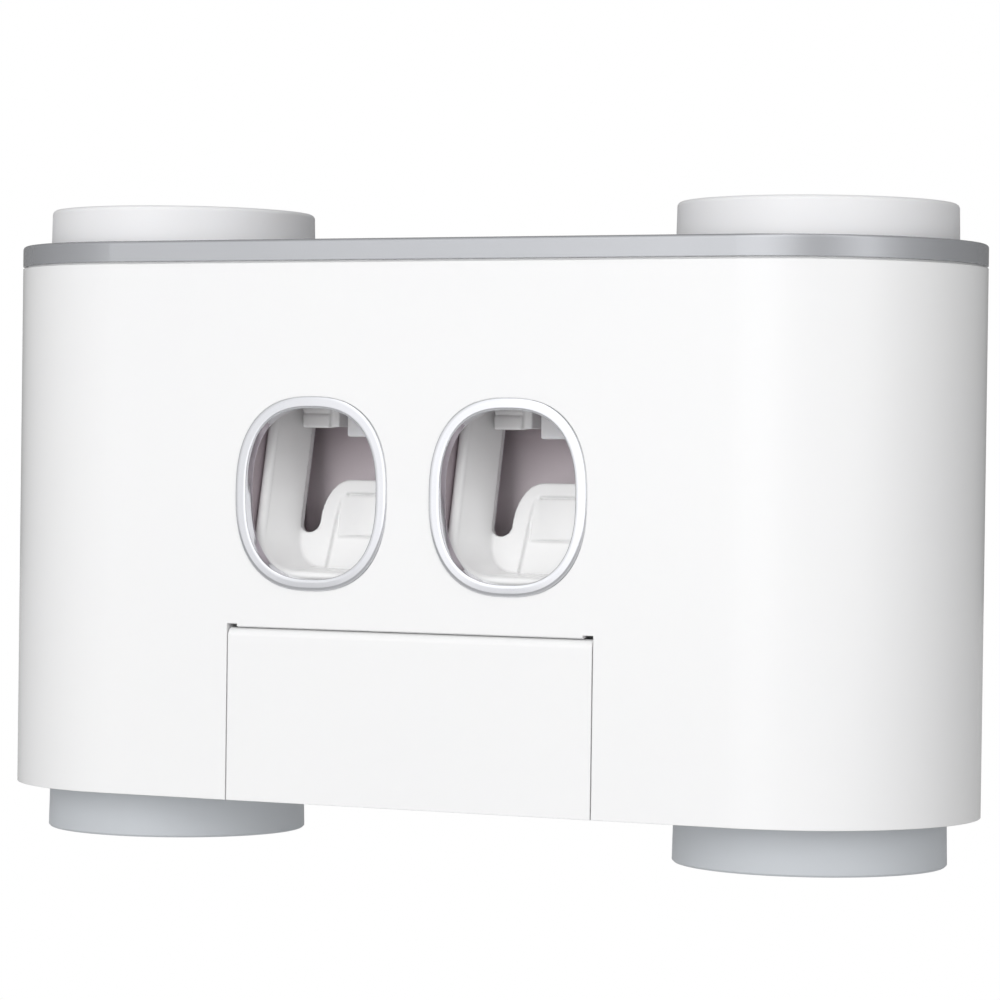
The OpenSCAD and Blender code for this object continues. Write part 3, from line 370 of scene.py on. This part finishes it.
# Levers: the frame's lever with a rolled lip round its mouth, every edge softened as in a mould.
lever = {"voxelMm": 0.36, "relaxTimes": 4, "keepFaces": 0.4, "leanDeg": 13.5, "frontMm": -104.0, "mouthMm": 8.2,
         "halfWideMm": 20.75, "floorMm": -13.85, "topMm": 33.0, "cornerMm": 12.7, "middleXMm": 30.5,
         "lipMm": 1.6, "lipGapMm": 0.05, "lipSides": 12, "straightSteps": 8, "cornerSteps": 12}


def lipPath():
    # Down the left side of the mouth, round its foot and up the right side, in the lever's own plane.
    wide, low, bend = lever["halfWideMm"], lever["floorMm"], lever["cornerMm"]
    drop, steps, cornerSteps = lever["topMm"] - low - bend, lever["straightSteps"], lever["cornerSteps"]
    path = [(-wide, lever["topMm"] - drop * i / steps) for i in range(steps)]
    for middle, start in ((bend - wide, 180), (wide - bend, 270)):
        for i in range(cornerSteps + 1):
            a = math.radians(start + 90 * i / cornerSteps)
            path.append((middle + bend * math.cos(a), low + bend + bend * math.sin(a)))
    return path + [(wide, low + bend + drop * i / steps) for i in range(1, steps + 1)]


def lipMesh(sign):
    # A round bead along the path, leaned back with the lever.
    lean, count = math.radians(lever["leanDeg"]), lever["lipSides"]
    shape = bmesh.new()
    loops = []
    path = lipPath()
    for i, (x, v) in enumerate(path):
        before, after = path[max(i - 1, 0)], path[min(i + 1, len(path) - 1)]
        along = Vector((after[0] - before[0], 0, after[1] - before[1])).normalized()
        across = Vector((along.z, 0, -along.x))
        middle = Vector((x, lever["mouthMm"] + lever["lipMm"] + lever["lipGapMm"], v))
        loop = []
        for k in range(count):
            a = 2 * math.pi * k / count
            spot = middle + lever["lipMm"] * (math.cos(a) * across + math.sin(a) * Vector((0, 1, 0)))
            deep = spot.y * math.cos(lean) + spot.z * math.sin(lean)
            high = spot.z * math.cos(lean) - spot.y * math.sin(lean)
            placed = Vector((spot.x + sign * lever["middleXMm"], lever["frontMm"] + deep, high)) * mm
            loop.append(shape.verts.new(placed))
        loops.append(loop)
    for one, two in zip(loops, loops[1:]):
        for k in range(count):
            shape.faces.new((one[k], one[k - 1], two[k - 1], two[k]))
    shape.faces.new(loops[0])
    shape.faces.new(loops[-1][::-1])
    bmesh.ops.recalc_face_normals(shape, faces=shape.faces)
    mesh = bpy.data.meshes.new("lip")
    shape.to_mesh(mesh)
    shape.free()
    return mesh


for side, sign in sides.items():
    mesh = softenedCopy("push_lever_" + side, [lipMesh(sign)], lever, "polishedAbsWhite")
    readyPiece(mesh, "pushLever." + side, "lever_" + side, "white_lever", "push_lever_" + side)
    print("lever made:", side, len(mesh.polygons), "faces")


# The cover's ledge over the flap: it closes the view through the top line, short of the dark corner reliefs.
ledge = {"halfWideMm": 53.6, "frontMm": -103.5, "backMm": -102.2, "lowMm": -30.47, "highMm": -30.2}

shape = bmesh.new()
bmesh.ops.create_cube(shape, size=1.0)
for corner in shape.verts:
    corner.co = Vector((ledge["halfWideMm"] if corner.co.x > 0 else -ledge["halfWideMm"],
                        ledge["backMm"] if corner.co.y > 0 else ledge["frontMm"],
                        ledge["highMm"] if corner.co.z > 0 else ledge["lowMm"])) * mm
mesh = bpy.data.meshes.new("flapLedge")
shape.to_mesh(mesh)
shape.free()
mesh.materials.append(materials["glossyAbsWhite"])
readyPiece(mesh, "flapLedge", "body", "white_shell")
print("ledge made")


# Manifolds and nozzles: small mouldings, whose edges show close behind the rings.
block = {"voxelMm": 0.36, "relaxTimes": 7, "keepFaces": 0.35}

for side in sides:
    for kind, slotName in (("manifold", "white_lever"), ("nozzle", "silicone")):
        mesh = softenedCopy(kind + "_" + side, [], block, finishOf[kind])
        readyPiece(mesh, kind + "Moulded." + side, "body", slotName, kind + "_" + side)
print("manifolds and nozzles made")


# The camera that took the photograph, fitted to its edges.
view = {"place": (0.46729, -1.06772, 0.02068), "yawRad": 0.42743, "pitchRad": 0.01277, "rollRad": 0.01329,
        "lensMm": 138.0, "sensorMm": 36.0, "nearest": 0.05, "farthest": 50}


def aimedCamera():
    data = bpy.data.cameras.new("photoCamera")
    data.lens, data.sensor_width = view["lensMm"], view["sensorMm"]
    data.clip_start, data.clip_end = view["nearest"], view["farthest"]
    camera = newObject("photoCamera", data)
    yaw, pitch, roll = view["yawRad"], view["pitchRad"], view["rollRad"]
    forward = Vector((-math.sin(yaw) * math.cos(pitch), math.cos(yaw) * math.cos(pitch), -math.sin(pitch)))
    level = Vector((math.cos(yaw), math.sin(yaw), 0))
    upward = level.cross(forward)
    right = math.cos(roll) * level + math.sin(roll) * upward
    up = -math.sin(roll) * level + math.cos(roll) * upward
    turn = Matrix((right, up, -forward)).transposed().to_4x4()
    camera.matrix_world = Matrix.Translation(view["place"]) @ turn
    return camera


bpy.context.scene.camera = aimedCamera()


# The light: pale walls whose tone changes with the way they stand round the object, and two soft lamps.
studio = {
    "floorZ": -0.30, "floorSize": 14.0, "floorColour": "#E6E6E6", "wallsOverhead": 0.9, "wallsBelow": 0.7,
    "walls": (  # degrees right of the front, level
        (-180, 0.25), (-100, 0.3), (-60, 0.45), (-40, 0.62), (-33, 0.85), (-28, 1.12), (-24, 1.5), (-12, 1.65),
        (0, 1.6), (12, 1.25), (22, 0.78), (32, 0.62), (45, 0.95), (60, 1.35), (74, 0.85), (90, 0.5), (118, 0.32),
        (180, 0.25)),
    "lamps": {  # degrees right of the front, degrees up, metres away, width, height, watts
        "softLeft": (-4, 10, 1.8, 0.8, 1.3, 9.0),
        "softRight": (48, 8, 1.8, 1.0, 1.3, 3.6),
    },
}


def whiteWhenSeen(tree, plain):
    # White to the camera and through glass, and a plain surface or a shaded studio to the lamps and mirrors.
    paths = addNode(tree, "ShaderNodeLightPath").outputs
    seen = addNode(tree, "ShaderNodeMath", {"operation": "MAXIMUM"},
                   {0: paths["Is Camera Ray"], 1: paths["Is Transmission Ray"]})
    kind = "ShaderNodeBackground" if plain.bl_idname == "ShaderNodeBackground" else "ShaderNodeEmission"
    white = addNode(tree, kind, {"Color": (1, 1, 1, 1), "Strength": 1.0})
    return addNode(tree, "ShaderNodeMixShader", links={0: seen.outputs[0], 1: plain.outputs[0], 2: white.outputs[0]})


def standWalls():
    world = bpy.data.worlds.new("paleStudio")
    world.use_nodes = True
    tree = world.node_tree
    tree.nodes.clear()
    way = addNode(tree, "ShaderNodeSeparateXYZ", links={0: addNode(tree, "ShaderNodeTexCoord").outputs["Generated"]})
    ahead = addNode(tree, "ShaderNodeMath", {"operation": "MULTIPLY", 1: -1.0}, {0: way.outputs[1]})
    turn = addNode(tree, "ShaderNodeMath", {"operation": "ARCTAN2"}, {0: way.outputs[0], 1: ahead.outputs[0]})
    share = addNode(tree, "ShaderNodeMapRange", {"From Min": -math.pi, "From Max": math.pi}, {"Value": turn.outputs[0]})
    tones = addNode(tree, "ShaderNodeValToRGB", links={0: share.outputs[0]})
    ramp = tones.color_ramp.elements
    for degrees, level in studio["walls"][1:-1]:
        ramp.new((degrees + 180) / 360)
    for stop, (degrees, level) in zip(list(ramp), studio["walls"]):
        stop.color = (level, level, level, 1)
    height = addNode(tree, "ShaderNodeMapRange",
                     {"From Min": -1.0, "From Max": 1.0, "To Min": studio["wallsBelow"],
                      "To Max": studio["wallsOverhead"]}, {"Value": way.outputs[2]})
    plain = addNode(tree, "ShaderNodeBackground", links={"Color": tones.outputs[0], "Strength": height.outputs[0]})
    addNode(tree, "ShaderNodeOutputWorld", links={"Surface": whiteWhenSeen(tree, plain).outputs[0]})
    bpy.context.scene.world = world


def layFloor():
    half, level = studio["floorSize"] / 2, studio["floorZ"]
    mesh = bpy.data.meshes.new("studioFloor")
    mesh.from_pydata([(-half, -half, level), (half, -half, level), (half, half, level), (-half, half, level)],
                     [], [(0, 1, 2, 3)])
    floor = newObject("studioFloor", mesh)
    material, tree, place = startMaterial("palePaperFloor")
    plain = addNode(tree, "ShaderNodeBsdfDiffuse", {"Color": linearColour(studio["floorColour"])})
    below = addNode(tree, "ShaderNodeNewGeometry").outputs["Backfacing"]  # a view from under the floor sees through it
    clear = addNode(tree, "ShaderNodeBsdfTransparent")
    finishMaterial(tree, addNode(tree, "ShaderNodeMixShader",
                                 links={0: below, 1: whiteWhenSeen(tree, plain).outputs[0], 2: clear.outputs[0]}))
    mesh.materials.append(material)


def hangLamps():
    for name, (side, up, away, wide, tall, watts) in studio["lamps"].items():
        data = bpy.data.lights.new(name, "AREA")
        data.shape = "RECTANGLE"
        data.size, data.size_y, data.energy = wide, tall, watts
        lamp = newObject(name, data)
        lamp.visible_camera = lamp.visible_glossy = False  # mirrors show the walls alone
        a, e = math.radians(side), math.radians(up)
        back = Vector((math.sin(a) * math.cos(e), -math.cos(a) * math.cos(e), math.sin(e)))
        lamp.matrix_world = Matrix.Translation(back * away) @ (-back).to_track_quat("-Z", "Y").to_matrix().to_4x4()


standWalls()
layFloor()
hangLamps()
bpy.context.scene.view_settings.view_transform = "Standard"
print("studio lit")
